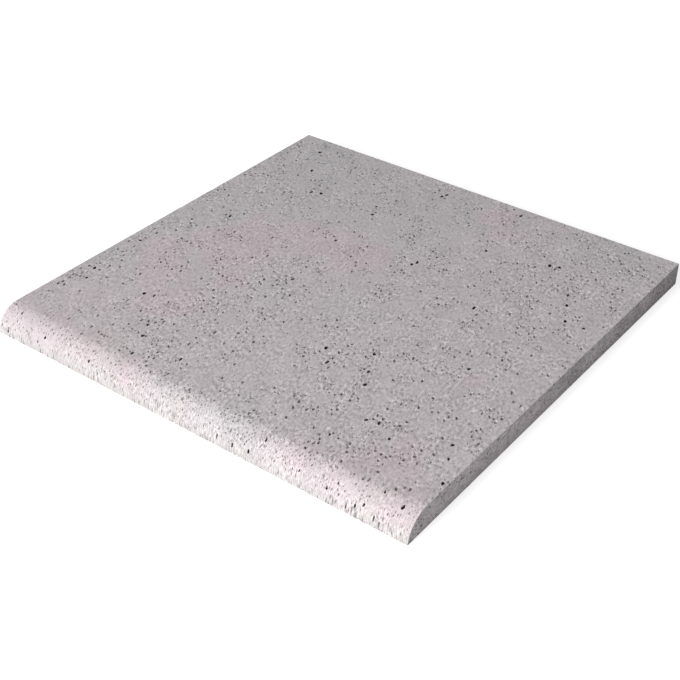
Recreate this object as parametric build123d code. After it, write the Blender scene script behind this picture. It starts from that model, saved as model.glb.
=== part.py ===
from build123d import *

import os
from math import sqrt

# A square pool coping tile: one slab of stone, lying on its underside, with a
# full rounded nose along the edge that overhangs the pool.
#
# The frame is in millimetres. The origin is the centre of the underside, +Z is
# up, -Y points over the water and X runs along the pool's edge.

# Driving dimensions

# Length of the tile along the pool's edge, between its two grout joints
coping_length = 600.0
# Depth of the tile, from the foot of the nose to the back face
coping_depth = 600.0
# Thickness of the slab, from the underside to the walking face
slab_thickness = 30.0
# Radius of the nose, which leaves the walking face without a step
nose_radius = 32.0
# Rounding of the eased arris around the walking face and up both ends of the nose
arris_radius = 0.8

# Worked out from the driving dimensions

front = -coping_depth / 2
back = coping_depth / 2
left = -coping_length / 2

# The nose's arc falls from the walking face to the underside. A nose with a
# radius smaller than the slab's thickness ends above the underside instead, and
# a plain upright face goes on down from it.
nose_height = min(nose_radius, slab_thickness)
nose_reach = sqrt(nose_radius**2 - (nose_radius - nose_height) ** 2)

nose_foot = (front, slab_thickness - nose_height)
nose_top = (front + nose_reach, slab_thickness)


def slab_section():
    """The section from the nose to the back face, at the tile's left end."""
    with BuildSketch(Plane.YZ.offset(left)) as section:
        with BuildLine():
            if nose_height < slab_thickness:
                Line((front, 0), nose_foot)
            RadiusArc(nose_foot, nose_top, nose_radius)
            Polyline(nose_top, (back, slab_thickness), (back, 0), (front, 0))
        make_face()
    return section.sketch


def face_arrises(slab):
    """The edges around the walking face and the nose, but not the nose's foot."""
    walking_face = slab.faces().sort_by(Axis.Z)[-1]
    nose_face = slab.faces().filter_by(GeomType.CYLINDER)[0]
    shared = nose_top[0]
    edges = ShapeList(walking_face.edges() + nose_face.edges())
    across_front = edges.filter_by(Axis.X).filter_by(lambda edge: edge.center().Y < shared + arris_radius)
    return edges - across_front


def coping_tile():
    """The slab with its nose, and with its walking face's arrises eased."""
    slab = extrude(slab_section(), amount=coping_length, dir=(1, 0, 0)).solid()
    tile = fillet(face_arrises(slab), arris_radius).solid()
    tile.label = "coping_tile"
    return tile


os.makedirs("parts", exist_ok=True)
export_step(coping_tile(), "parts/coping_tile.step")
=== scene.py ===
"""A pitted stone pool coping tile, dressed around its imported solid."""
from dataclasses import dataclass
from math import acos, cos, pi, radians, sin, sqrt, tau

import bpy
import numpy as np
from bpy.props import FloatProperty, FloatVectorProperty, IntProperty, PointerProperty
from mathutils import Matrix, Vector, noise
from mathutils.geometry import delaunay_2d_cdt
from mathutils.kdtree import KDTree


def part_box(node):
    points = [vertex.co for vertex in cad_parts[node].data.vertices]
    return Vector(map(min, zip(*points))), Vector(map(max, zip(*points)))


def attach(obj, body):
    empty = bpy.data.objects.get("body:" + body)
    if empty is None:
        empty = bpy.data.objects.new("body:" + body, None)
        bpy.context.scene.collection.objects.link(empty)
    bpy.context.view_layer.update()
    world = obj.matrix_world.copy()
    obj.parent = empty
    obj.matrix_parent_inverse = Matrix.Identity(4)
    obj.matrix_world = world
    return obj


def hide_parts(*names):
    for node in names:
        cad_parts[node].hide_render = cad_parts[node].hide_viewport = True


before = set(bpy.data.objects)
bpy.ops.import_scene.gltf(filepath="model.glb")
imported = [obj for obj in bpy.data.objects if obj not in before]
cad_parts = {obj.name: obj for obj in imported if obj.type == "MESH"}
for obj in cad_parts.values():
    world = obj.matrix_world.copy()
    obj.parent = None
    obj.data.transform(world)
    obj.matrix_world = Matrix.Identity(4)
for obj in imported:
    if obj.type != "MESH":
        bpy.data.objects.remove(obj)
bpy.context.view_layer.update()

bl_info = {
    "name": "Pool coping tile",
    "version": (1, 0, 0),
    "blender": (4, 5, 0),
    "location": "3D View > Sidebar > Coping",
    "description": "Makes a pitted stone pool coping tile with a rounded nose",
    "category": "Add Mesh",
}

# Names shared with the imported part

NODE = "coping_tile"
BODY = "root"
PIECE = "pitted_coping_tile"

# All lengths are in metres, and MM writes one in millimetres

MM = 0.001

# The tile's size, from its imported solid, and how near its top a corner counts as on it

LOW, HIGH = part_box(NODE)
LENGTH = HIGH.x - LOW.x
DEPTH = HIGH.y - LOW.y
THICKNESS = HIGH.z - LOW.z
NEAR_TOP = 0.01 * MM


def nose_radius_of(tile):
    """The nose's radius, worked out from how far back the walking face begins."""
    corners = np.array([vertex.co for vertex in tile.data.vertices])
    on_top = corners[corners[:, 2] > HIGH.z - NEAR_TOP]
    reach = on_top[:, 1].min() - LOW.y
    if reach <= THICKNESS:
        return reach
    return (reach**2 + THICKNESS**2) / (2 * THICKNESS)


NOSE_RADIUS = nose_radius_of(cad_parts[NODE])

# The widest pits, each as its place on the walking face, from the tile's middle, and
# the width that shows, in millimetres

WIDEST_PITS = (
    (-251, 265, 5.3), (-225, 213, 5.2), (-186, 163, 5.2), (-173, 168, 5.4), (-91, 185, 4.4),
    (-82, 164, 5.3), (-33, 271, 5.2), (-36, 263, 5.1), (-80, 80, 4.9), (-231, 44, 5.0),
    (78, 283, 5.0), (89, 178, 4.8), (172, 196, 6.0), (184, 200, 5.2), (224, 150, 4.8),
    (234, 129, 5.1), (35, 100, 5.2), (32, 92, 5.1), (249, 98, 5.0), (274, 98, 4.6),
    (148, 56, 5.4), (-281, -75, 4.9), (-279, -159, 5.0), (-270, -181, 4.6), (-188, -163, 5.4),
    (-175, -159, 4.6), (-137, -209, 4.8), (-126, -229, 5.0), (-59, -236, 4.9), (-65, -27, 4.9),
    (58, -118, 5.5), (76, -139, 5.1), (135, -147, 5.2), (109, -94, 5.1), (124, -125, 4.8),
    (210, -52, 4.9), (231, -15, 3.9), (269, -175, 4.9), (278, -196, 4.4), (187, -192, 4.9),
    (173, -196, 4.8), (157, -239, 3.5), (-111, -261, 4.7), (211, -207, 4.2), (294, -231, 4.7),
)

# The nose's widest pits, each as its place along the tile, the way down the nose
# from the walking face, and its width, in millimetres

NOSE_PITS = (
    (107, 16, 3.0), (-151, 28, 2.8), (-225, 27, 2.6), (-276, 13, 2.8),
    (-285, 40, 2.8), (-234, 35, 2.2), (196, 32, 2.8), (223, 40, 2.4), (233, 35, 2.6),
    (242, 30, 2.8), (206, 22, 2.4), (257, 38, 2.6), (264, 42, 2.4), (255, 8, 2.6),
    (93, 36, 2.8), (71, 38, 2.8), (49, 37, 2.6), (159, 29, 2.2), (270, 27, 2.0),
)

# The largest pit, a slanting one near the nose's right end: its place along the
# tile and the way down the nose, its width, how drawn out it is and its heading

LARGEST_PIT = (281, 14, 4.1, 1.45, radians(68))

# The stone's patches of other colours, each as its middle and its radius, in
# millimetres, and how strong it is

MAUVE_PATCHES = (
    (-178, 0, 62, 1.0), (-75, 72, 42, 1.0), (-35, 68, 42, 1.0), (-240, -78, 40, 0.9),
    (-205, -118, 38, 0.85), (-150, -160, 38, 1.0), (55, 258, 26, 1.0), (235, -235, 44, 0.75),
    (-235, -204, 34, 0.6), (225, -68, 20, 0.7), (80, 220, 18, 1.0), (-125, -75, 24, 1.0),
    (285, -285, 46, 0.75), (215, -292, 48, 0.8), (155, -292, 34, 0.8), (-95, -292, 36, 0.8),
    (-155, -290, 46, 0.75), (-225, -290, 50, 0.7), (-285, -290, 40, 0.6), (-125, 72, 34, 0.95),
    (-200, 66, 26, 0.5),
)
COOL_PATCHES = (
    (-210, 215, 150, 0.85), (-40, 215, 125, 0.8), (-290, 45, 90, 0.9), (30, -25, 45, 0.5),
    (-75, -70, 40, 0.6), (-290, -125, 40, 0.8), (30, -295, 90, 0.55), (220, 300, 90, 0.8),
)
CREAM_PATCHES = (
    (-150, -296, 45, 1.0), (-95, -299, 34, 0.8), (270, -297, 38, 1.0), (150, -300, 26, 0.7),
    (-20, -300, 26, 0.6), (-275, -300, 30, 0.5),
)

# Where the stone is livelier than usual, or calmer: each place with its radius, in
# millimetres, and how much is added there to its liveliness

LIVELY_PATCHES = (
    (110, -220, 85, 0.4), (240, -150, 60, 0.2), (-90, -200, 78, 0.26), (-100, -35, 42, 0.22),
    (75, -110, 45, 0.2), (210, -25, 45, 0.3), (-171, 20, 34, 0.38), (235, 200, 85, 0.36),
    (-275, -90, 80, -0.3), (-18, 20, 30, -0.45), (-20, 210, 150, -0.5), (-190, 280, 50, -0.4),
    (-110, 110, 70, -0.2), (-18, -134, 28, -0.25), (-171, -83, 30, -0.35), (-250, -300, 80, -0.6),
    (60, -300, 70, 0.2), (-110, -300, 60, 0.12), (-245, 200, 60, -0.25),
)


# Settings that a user may change


class PitSettings(bpy.types.PropertyGroup):
    """The natural pits that are open on the stone's surface."""

    face_pits: IntProperty(
        name="Pits in the walking face",
        description="How many natural pits the flat walking face has",
        default=2250,
        min=0,
    )
    nose_pits: IntProperty(
        name="Pits in the nose",
        description="How many natural pits the rounded nose has",
        default=560,
        min=0,
    )
    sawn_pits: IntProperty(
        name="Pits in the sawn faces",
        description="How many natural pits each sawn end has, and the back",
        default=60,
        min=0,
    )
    usual_width: FloatProperty(
        name="Usual width",
        description="The width that about half of the pits are under",
        default=2.35 * MM,
        unit="LENGTH",
        subtype="DISTANCE",
    )
    narrowest: FloatProperty(
        name="Narrowest",
        description="The width of the narrowest modelled pit",
        default=1.5 * MM,
        unit="LENGTH",
        subtype="DISTANCE",
    )
    widest: FloatProperty(
        name="Widest",
        description="The width of the widest pit that is placed by chance",
        default=3.6 * MM,
        unit="LENGTH",
        subtype="DISTANCE",
    )
    deepest: FloatProperty(
        name="Deepest by chance",
        description="How deep the deepest pit goes that is placed by chance",
        default=2.4 * MM,
        unit="LENGTH",
        subtype="DISTANCE",
    )
    seed: IntProperty(
        name="Seed",
        description="Another number gives another stone",
        default=11,
        min=0,
    )


class EdgeSettings(bpy.types.PropertyGroup):
    """The tile's worn and chipped arrises."""

    rounding: FloatProperty(
        name="Rounding",
        description="How far an eased arris is rounded",
        default=0.6 * MM,
        unit="LENGTH",
        subtype="DISTANCE",
    )
    chips: IntProperty(
        name="Chips",
        description="How many small chips each end's arris has",
        default=50,
        min=0,
    )
    foot_chips: IntProperty(
        name="Chips in the foot",
        description="How many chips are out of the foot of the nose",
        default=32,
        min=0,
    )
    foot_nicks: IntProperty(
        name="Nicks over the foot",
        description="How many dark nicks stand just over the foot of the nose",
        default=44,
        min=0,
    )
    upper_back_nicks: IntProperty(
        name="Nicks in the upper back arris",
        description="How many nicks the back edge of the walking face has",
        default=45,
        min=0,
    )
    lower_back_nicks: IntProperty(
        name="Nicks in the lower back arris",
        description="How many nicks the back edge of the underside has",
        default=30,
        min=0,
    )
    widest_chip: FloatProperty(
        name="Widest chip",
        description="How far the widest chip goes in from an arris",
        default=1.5 * MM,
        unit="LENGTH",
        subtype="DISTANCE",
    )


class StoneSettings(bpy.types.PropertyGroup):
    """The stone's colours and the size of its grain."""

    body_colour: FloatVectorProperty(
        name="Stone",
        description="The stone's light grey",
        default=(0.487, 0.447, 0.459),
        subtype="COLOR",
        min=0,
        max=1,
    )
    mauve_colour: FloatVectorProperty(
        name="Mauve",
        description="The colour of the stone's mauve patches",
        default=(0.507, 0.440, 0.461),
        subtype="COLOR",
        min=0,
        max=1,
    )
    cream_colour: FloatVectorProperty(
        name="Cream",
        description="The colour of the cream patches low on the nose",
        default=(0.484, 0.457, 0.450),
        subtype="COLOR",
        min=0,
        max=1,
    )
    cool_colour: FloatVectorProperty(
        name="Cool grey",
        description="The colour of the stone's greenish grey clouds",
        default=(0.459, 0.439, 0.445),
        subtype="COLOR",
        min=0,
        max=1,
    )
    sawn_colour: FloatVectorProperty(
        name="Sawn stone",
        description="The grey of the sawn faces",
        default=(0.442, 0.408, 0.417),
        subtype="COLOR",
        min=0,
        max=1,
    )
    # Painted shade: the near black that pits, nicks, chips and pores are darkened towards
    pit_shade_colour: FloatVectorProperty(
        name="Inside the pits",
        description="The colour deep inside a pit",
        default=(0.012, 0.01, 0.01),
        subtype="COLOR",
        min=0,
        max=1,
    )
    grain_size: FloatProperty(
        name="Grain",
        description="The size of the stone's grains",
        default=3.3 * MM,
        unit="LENGTH",
        subtype="DISTANCE",
    )


class StageSettings(bpy.types.PropertyGroup):
    """The camera and the lamps."""

    camera_place: FloatVectorProperty(
        name="Camera",
        description="Where the camera stands",
        default=(0.8, -1.069, 0.89),
        unit="LENGTH",
        subtype="TRANSLATION",
    )
    azimuth: FloatProperty(
        name="Azimuth",
        description="How far the camera is turned to the tile's right",
        default=radians(37.209),
        unit="ROTATION",
        subtype="ANGLE",
    )
    elevation: FloatProperty(
        name="Elevation",
        description="How far the camera looks down",
        default=radians(35.148),
        unit="ROTATION",
        subtype="ANGLE",
    )
    roll: FloatProperty(
        name="Roll",
        description="How far the camera is tilted sideways",
        default=radians(0.256),
        unit="ROTATION",
        subtype="ANGLE",
    )
    lens: FloatProperty(
        name="Lens",
        description="The camera's focal length, in millimetres, on a 36 mm sensor",
        default=68.23,
    )
    key_power: FloatProperty(
        name="Key lamp",
        description="The power of the large lamp in front of the nose",
        default=461.0,
        unit="POWER",
    )
    fill_power: FloatProperty(
        name="Fill lamp",
        description="The power of the weak lamp off the tile's right front corner",
        default=14.5,
        unit="POWER",
    )
    sky: FloatProperty(
        name="Sky",
        description="The strength of the even light from all round",
        default=0.29,
        min=0,
    )


# The tile's section: the step between its points, how far its corners and its
# normals are blended, and how far the grain is drawn out down the nose at most

SECTION_STEP = 0.1 * MM
CORNER_BLEND = 0.4 * MM
NORMAL_BLEND = 2.0 * MM
GRAIN_STRETCH = 2.8


def averaged(values, reach):
    """Each value of a closed ring of them, averaged with its neighbours up to reach places away."""
    padded = np.concatenate([values[-reach:], values, values[:reach]])
    weights = np.full(2 * reach + 1, 1 / (2 * reach + 1))
    return np.stack([np.convolve(column, weights, mode="valid") for column in padded.T], axis=1)


class Section:
    """The tile's outline across the nose, as a closed curve of Y and Z.

    A place on it is its distance from the middle of the underside, going out to
    the nose's foot, up the nose, back over the walking face and down the back.
    """

    def __init__(self, radius, rounding):
        height = min(radius, THICKNESS)
        foot_z = HIGH.z - height
        arc_end_y = LOW.y + sqrt(radius**2 - (radius - height) ** 2)
        steepest = acos((radius - height) / radius)

        self.foot = -LOW.y
        self.arc_start = self.foot + foot_z
        self.nose_top = self.arc_start + radius * steepest
        self.back_top = self.nose_top + HIGH.y - arc_end_y
        self.back_foot = self.back_top + THICKNESS
        self.length = self.back_foot + HIGH.y
        self.corners = np.array((self.foot, self.back_top, self.back_foot))

        count = int(round(self.length / SECTION_STEP))
        self.place = np.arange(count) * self.length / count
        on_nose = (self.place > self.arc_start) & (self.place < self.nose_top)
        slope = np.clip(steepest - (self.place - self.arc_start) / radius, 0, steepest)
        self.slope = np.where(on_nose, slope, 0.0)
        y, z = self.sharp_outline(radius, foot_z, arc_end_y, on_nose)
        self.grain_y, self.grain_z = self.grain_places(y, z, np.flatnonzero(on_nose))
        self.blend(np.stack([y, z], axis=1), rounding)

    def sharp_outline(self, radius, foot_z, arc_end_y, on_nose):
        """Y and Z at every place, with the corners left sharp."""
        marks = (0, self.foot, self.arc_start, self.nose_top, self.back_top, self.back_foot, self.length)
        y = np.interp(self.place, marks, (0, LOW.y, LOW.y, arc_end_y, HIGH.y, HIGH.y, 0))
        z = np.interp(self.place, marks, (LOW.z, LOW.z, foot_z, HIGH.z, HIGH.z, LOW.z, LOW.z))
        y[on_nose] = arc_end_y - radius * np.sin(self.slope[on_nose])
        z[on_nose] = THICKNESS - radius + LOW.z + radius * np.cos(self.slope[on_nose])
        return y, z

    def blend(self, outline, rounding):
        """Round the outline's corners, and turn the directions out of the stone past them."""
        self.points = averaged(outline, int(rounding / SECTION_STEP))
        ahead = np.roll(outline, -1, axis=0) - np.roll(outline, 1, axis=0)
        ahead = averaged(ahead, int(NORMAL_BLEND / SECTION_STEP))
        normals = np.stack([-ahead[:, 1], ahead[:, 0]], axis=1)
        self.normals = normals / np.linalg.norm(normals, axis=1, keepdims=True)

    def grain_places(self, y, z, nose):
        """Where the grain pattern is read. Down the nose it is drawn out, as if seen from above."""
        last = nose[-1]
        drawn = np.maximum(np.cos(self.slope), 1 / GRAIN_STRETCH) * self.place[1]
        from_top = np.cumsum(drawn[: last + 1][::-1])[::-1]
        grain_y = y.copy()
        grain_z = z - HIGH.z
        grain_y[nose] = y[last] - from_top[nose]
        grain_z[nose] = 0.0
        return grain_y, grain_z

    def read(self, values, place):
        """A value of the section at any place, or at an array of them."""
        position = np.mod(place, self.length) / self.length * len(values)
        before = np.floor(position).astype(int)
        share = position - before
        after = (before + 1) % len(values)
        return values[before % len(values)] * (1 - share) + values[after] * share

    def at(self, place):
        """Y and Z of the outline."""
        return np.stack([self.read(self.points[:, 0], place), self.read(self.points[:, 1], place)], -1)

    def outward(self, place):
        """The direction out of the stone, turned gradually past a corner."""
        return np.stack([self.read(self.normals[:, 0], place), self.read(self.normals[:, 1], place)], -1)

    def place_of_plan(self, y):
        """The place on the nose or the walking face that lies at a depth y, seen from above."""
        upper = (self.place >= self.arc_start) & (self.place <= self.back_top)
        outline_y = np.maximum.accumulate(self.points[upper, 0])
        return float(np.interp(y, outline_y, self.place[upper]))


# Pits. The stone's flow has drawn them out a little, and the nose's slope, as it
# was cut through them, does so more.

FLOW_HEADING = radians(102)
FLOW_STRETCH = 1.8
GRAIN_HEADING = radians(110)
GRAIN_FLOW = 1.75
STEEP = radians(50)
MOST_STRETCH = 5.5


def drawn_out(stretch, heading):
    """A matrix that draws flat places out along a heading."""
    ahead = np.array((cos(heading), sin(heading)))
    return np.eye(2) + (stretch - 1) * np.outer(ahead, ahead)


def shape_at(section, along):
    """How much a pit at a place is drawn out, and along which heading."""
    slope = float(section.read(section.slope, along))
    share = min(slope / STEEP, 1)
    heading = FLOW_HEADING + (pi / 2 - FLOW_HEADING) * share
    return max(FLOW_STRETCH, min(1 / cos(slope), MOST_STRETCH)), heading


# How far a pit's uneven rim may reach from its middle, as a share of its width

RIM_REACH = 0.7


@dataclass
class Pit:
    """One open pit. Its place is across (along the nose) and along (round the section)."""

    across: float
    along: float
    width: float
    stretch: float
    heading: float
    turn: float
    depth: float
    darkness: float
    wobble: tuple

    def rim(self, angle):
        """How far the rim is from the middle at an angle, where 1 is a true circle."""
        return 1 + sum(size * np.cos(waves * angle + phase) for waves, size, phase in self.wobble)

    def ring(self, share, count, shift):
        """Points round the pit at a share of the way out to its rim."""
        angle = tau * (np.arange(count) + shift) / count
        radius = share * self.width / 2 * self.rim(angle)
        turned = angle + self.turn
        circle = np.stack([radius * np.cos(turned), radius * np.sin(turned)], axis=1)
        return (self.across, self.along) + circle @ drawn_out(self.stretch, self.heading)

    def share_at(self, points):
        """The share of the way from the pit's middle to its rim, at each point."""
        back_to_circle = np.linalg.inv(drawn_out(self.stretch, self.heading))
        circle = (points - (self.across, self.along)) @ back_to_circle
        angle = np.arctan2(circle[:, 1], circle[:, 0]) - self.turn
        return np.linalg.norm(circle, axis=1) / (self.width / 2 * self.rim(angle))

    def reach(self):
        """A radius that holds the pit."""
        return RIM_REACH * self.width * max(1.0, self.stretch)


# The rings of points that a pit is made from, from the widest pits to the
# narrowest. Each ring is its share of the way to the rim, and its points.

PIT_RINGS = (
    (4.0 * MM, ((1.0, 14), (0.88, 14), (0.6, 9), (0.0, 1))),
    (2.6 * MM, ((1.0, 11), (0.8, 9), (0.0, 1))),
    (1.7 * MM, ((1.0, 9), (0.68, 5))),
    (0.0, ((1.0, 7), (0.55, 3))),
)


def pit_rings(pit):
    """Each ring of a pit: its share of the way to the rim, and its number of points."""
    return next(rings for least, rings in PIT_RINGS if pit.width >= least)


# The unevenness of a rim: how many waves go round it, how large each may be, and
# the least share of that

RIM_WAVES = (2, 3, 5)
RIM_WAVE_SIZES = (0.24, 0.13, 0.07)
LEAST_WAVE = 0.3

# How far the widths spread round the usual one, how much stone is left between two
# pits, as a share of their widths and in itself, and how far a neighbour matters

WIDTH_SPREAD = 0.45
USUAL_GAP = 1.12
WALL_BETWEEN = 0.15 * MM
FARTHEST_NEIGHBOUR = 15 * MM

# How dark a pit's painted shade is: at least, the most that chance adds and how chance
# falls, what each millimetre past the plain width adds, and the range that it stays in

LEAST_DARK = 0.1
DARKER_BY_CHANCE = 0.42
DARK_CHANCE = (2.0, 2.7)
DARKER_BY_MILLIMETRE = 0.16
PLAIN_WIDTH = 2.2
DARK_RANGE = (0.16, 0.9)

# How deep a pit is, as a share of its width, how much of that a pit has that is not
# dark at all, and how much more of it comes with darkness

DEPTH_BY_WIDTH = (0.4, 0.75)
PALE_DEPTH = 0.2
DEEPER_BY_DARKNESS = 1.4


class PitMaker:
    """Makes pits of one seeded run of chance, and keeps them apart."""

    def __init__(self, settings, chance):
        self.settings = settings
        self.chance = chance
        self.pits = []
        self.places = np.zeros((0, 3))
        self.to_circle = np.zeros((0, 2, 2))

    def wobble(self):
        """The rim's unevenness, as waves round it."""
        sizes = self.chance.uniform(LEAST_WAVE, 1, len(RIM_WAVES)) * RIM_WAVE_SIZES
        phases = self.chance.uniform(0, tau, len(RIM_WAVES))
        return tuple(zip(RIM_WAVES, sizes, phases))

    def chance_width(self):
        """A width from the stone's own spread, most of them narrow."""
        width = self.settings.usual_width * np.exp(self.chance.normal(0, WIDTH_SPREAD))
        return float(np.clip(width, self.settings.narrowest, self.settings.widest))

    def chance_darkness(self, width):
        """How dark a pit's painted shade is. Wide ones tend to be darker."""
        by_chance = LEAST_DARK + DARKER_BY_CHANCE * self.chance.beta(*DARK_CHANCE)
        by_width = DARKER_BY_MILLIMETRE * (width / MM - PLAIN_WIDTH)
        return np.clip(by_chance + by_width, *DARK_RANGE)

    def chance_depth(self, width, darkness):
        """How deep a pit is. Pale ones are shallow."""
        steepness = self.chance.uniform(*DEPTH_BY_WIDTH)
        steepness *= min(PALE_DEPTH + DEEPER_BY_DARKNESS * darkness, 1.0)
        return min(width * steepness, self.settings.deepest)

    def runs_into_another(self, across, along, width, to_circle, gap):
        """Whether a pit would run into one that is already there."""
        offset = self.places[:, :2] - (across, along)
        near = np.flatnonzero(np.abs(offset).max(axis=1) < FARTHEST_NEIGHBOUR)
        by_mine = np.linalg.norm(offset[near] @ to_circle, axis=1)
        by_theirs = np.linalg.norm(np.einsum("ni,nij->nj", offset[near], self.to_circle[near]), axis=1)
        room = gap * (self.places[near, 2] + width) / 2 + WALL_BETWEEN
        return (np.minimum(by_mine, by_theirs) < room).any()

    def add(self, across, along, width, shape=(1.0, 0.0), darkness=None, depth=None, gap=USUAL_GAP):
        """Add a pit unless it would run into one that is already there."""
        to_circle = np.linalg.inv(drawn_out(*shape))
        if self.runs_into_another(across, along, width, to_circle, gap):
            return
        if darkness is None:
            darkness = self.chance_darkness(width)
        if depth is None:
            depth = self.chance_depth(width, darkness)
        turn = self.chance.uniform(0, tau)
        self.pits.append(Pit(across, along, width, *shape, turn, depth, float(darkness), self.wobble()))
        self.places = np.vstack([self.places, (across, along, width)])
        self.to_circle = np.concatenate([self.to_circle, [to_circle]])


# The clouds that the pits lie in: how many there are to a metre, which part of the
# noise they are read from, and how strong they are. Then the crowding without them,
# and the least.

WIDE_CLOUDS = (11, 3.7, 0.3)
CLOSE_CLOUDS = (34, 9.1, 0.8)
EVEN_CROWD = 0.5
LEAST_CROWD = 0.06


def cloud(x, y, kind):
    """How far one kind of cloud thickens the pits at a place."""
    scale, part, strength = kind
    return strength * noise.noise(Vector((x * scale, y * scale, part)))


def crowding(x, y):
    """How thickly the pits lie at a place, from 0 to 1, in clouds a few fingers wide."""
    thickness = EVEN_CROWD + cloud(x, y, WIDE_CLOUDS) + cloud(x, y, CLOSE_CLOUDS)
    return min(max(thickness, LEAST_CROWD), 1.0)


def liveliness(x, y):
    """How thickly pitted and grained the stone is at a place, where 1 is usual."""
    total = 1.0
    for patch_x, patch_y, radius, gain in LIVELY_PATCHES:
        away = np.hypot(x / MM - patch_x, y / MM - patch_y) / radius
        total = total + gain * np.exp(-(away**2))
    return total


# The pits at their own places: how wide the face's are, as a share of the width
# that shows with the worn rim, how deep both kinds are, as a share of the width
# that shows, and the most that the face's go down

HOLLOW_SHARE = 0.8
WIDE_DEPTH = 0.5
NOSE_DEPTH = 0.35
MOST_DEPTH = 2.9 * MM


def widest_face_pits(maker, section):
    """The walking face's widest pits, at their own places, with the darkest painted shade."""
    for x, y, width in WIDEST_PITS:
        along = section.place_of_plan(y * MM)
        maker.add(x * MM, along, HOLLOW_SHARE * width * MM, shape_at(section, along), darkness=1.0,
                  depth=min(WIDE_DEPTH * width * MM, MOST_DEPTH))


def widest_nose_pits(maker, section):
    """The nose's widest pits, at their own places, with the darkest painted shade."""
    x, down, width, stretch, heading = LARGEST_PIT
    maker.add(x * MM, section.nose_top - down * MM, width * MM, (stretch, heading), darkness=1.0,
              depth=WIDE_DEPTH * width * MM)
    for x, down, width in NOSE_PITS:
        along = section.nose_top - down * MM
        maker.add(x * MM, along, width * MM, shape_at(section, along), darkness=1.0,
                  depth=NOSE_DEPTH * width * MM)


# The face's other pits: how far they keep from an arris, how far they run down
# over the nose, how often one stands beside another and how near, in millimetres,
# how far its drawn out rim reaches, and the crowding at which no place is passed over

ARRIS_ROOM = 1.6 * MM
RUN_OVER_NOSE = 8 * MM
CLUMP_CHANCE = 0.38
CLUMP_REACH = (1.5, 9)
HALF_ROOM = 0.75
SURE_CROWD = 1.3


def chance_place(maker, low, high):
    """A place by chance between two corners, or else beside a pit that is already there."""
    chance = maker.chance
    place = tuple(chance.uniform(low, high))
    if maker.pits and chance.random() < CLUMP_CHANCE:
        parent = maker.pits[chance.integers(len(maker.pits))]
        away = chance.uniform(*CLUMP_REACH) * MM
        turn = chance.uniform(0, tau)
        place = (parent.across + away * cos(turn), parent.along + away * sin(turn))
    return place


def face_pits(maker, section):
    """The walking face's other pits, by chance."""
    wanted = len(maker.pits) + maker.settings.face_pits
    low = np.array((LOW.x + ARRIS_ROOM, section.nose_top - RUN_OVER_NOSE))
    high = np.array((HIGH.x - ARRIS_ROOM, section.back_top - ARRIS_ROOM))
    while len(maker.pits) < wanted:
        across, along = chance_place(maker, low, high)
        width = maker.chance_width()
        half = HALF_ROOM * width
        inside = (low + half < (across, along)).all() and (high - half > (across, along)).all()
        y = float(section.at(along)[0])
        if inside and maker.chance.random() < crowding(across, y) * liveliness(across, y) / SURE_CROWD:
            maker.add(across, along, width, shape_at(section, along))


# The nose's other pits: how far they keep from its ends, which part of it they lie
# on as seen from above and how they gather low down, and how far one may cut the foot

NOSE_ROOM = 2 * MM
NOSE_PART = (0.02, 0.92)
NOSE_GATHERING = 1.2
FOOT_CUT = 1.0 * MM

# Their width: at most, what chance takes off, and what the slope takes off

WIDEST_ON_NOSE = 2.6 * MM
NOSE_WIDTH_CHANCE = (0.75, 1)
NARROWER_BY_SLOPE = 0.25

# Their least crowding and the one at which no place is passed over, how dark their
# painted shade is, what the slope adds to it, their depth as a share of the width and
# at most, and how near to each other they may lie

NOSE_CROWD = 0.5
SURE_NOSE_CROWD = 1.8
NOSE_DARKNESS = (0.05, 0.66)
DARKER_BY_SLOPE = 0.32
NOSE_PIT_DEPTH = 0.5
MOST_NOSE_DEPTH = 0.9 * MM
NOSE_GAP = 1.05


def nose_width(maker, slope):
    """A width by chance for one of the nose's pits, which its slope narrows."""
    width = min(maker.chance_width(), WIDEST_ON_NOSE) * maker.chance.uniform(*NOSE_WIDTH_CHANCE)
    return width * (1 - NARROWER_BY_SLOPE * sin(slope))


def nose_pits(maker, section):
    """The nose's other pits, by chance, drawn out down the slope."""
    chance = maker.chance
    reach = section.at(section.nose_top)[0] - LOW.y
    wanted = len(maker.pits) + maker.settings.nose_pits
    while len(maker.pits) < wanted:
        across = chance.uniform(LOW.x + NOSE_ROOM, HIGH.x - NOSE_ROOM)
        along = section.place_of_plan(LOW.y + chance.uniform(*NOSE_PART) ** NOSE_GATHERING * reach)
        shape = shape_at(section, along)
        slope = float(section.read(section.slope, along))
        width = nose_width(maker, slope)
        along = max(along, section.foot + width / 2 * shape[0] - FOOT_CUT)
        crowd = NOSE_CROWD + crowding(across, float(section.at(along)[0]))
        if chance.random() < liveliness(across, LOW.y) * crowd / SURE_NOSE_CROWD:
            darkness = chance.uniform(*NOSE_DARKNESS) + DARKER_BY_SLOPE * sin(slope) ** 2
            maker.add(across, along, width, shape, darkness=darkness,
                      depth=min(NOSE_PIT_DEPTH * width, MOST_NOSE_DEPTH), gap=NOSE_GAP)


# Small nicks along an arris: how many places are tried for each, how far they keep
# from the ends, how far they stray off the line and how deep they are, in
# millimetres, and the narrowest

TRIES_A_NICK = 12
NICK_ROOM = 3 * MM
NICK_STRAY = 0.5
NICK_DEPTH = (0.25, 0.7)
NARROWEST_NICK = 1.0 * MM
WIDEST_NICK = 2.4 * MM
# How dark the painted shade in a nick is
NICK_DARKNESS = (0.05, 0.45)

# The nicks that the nose's last pits leave over its foot, whose painted shade is darker

FOOT_NICK_HEIGHT = 2.8 * MM
FOOT_NICK_STRETCH = 4.5
WIDEST_FOOT_NICK = 1.9 * MM
FOOT_NICK_DARKNESS = (0.5, 1.0)


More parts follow.
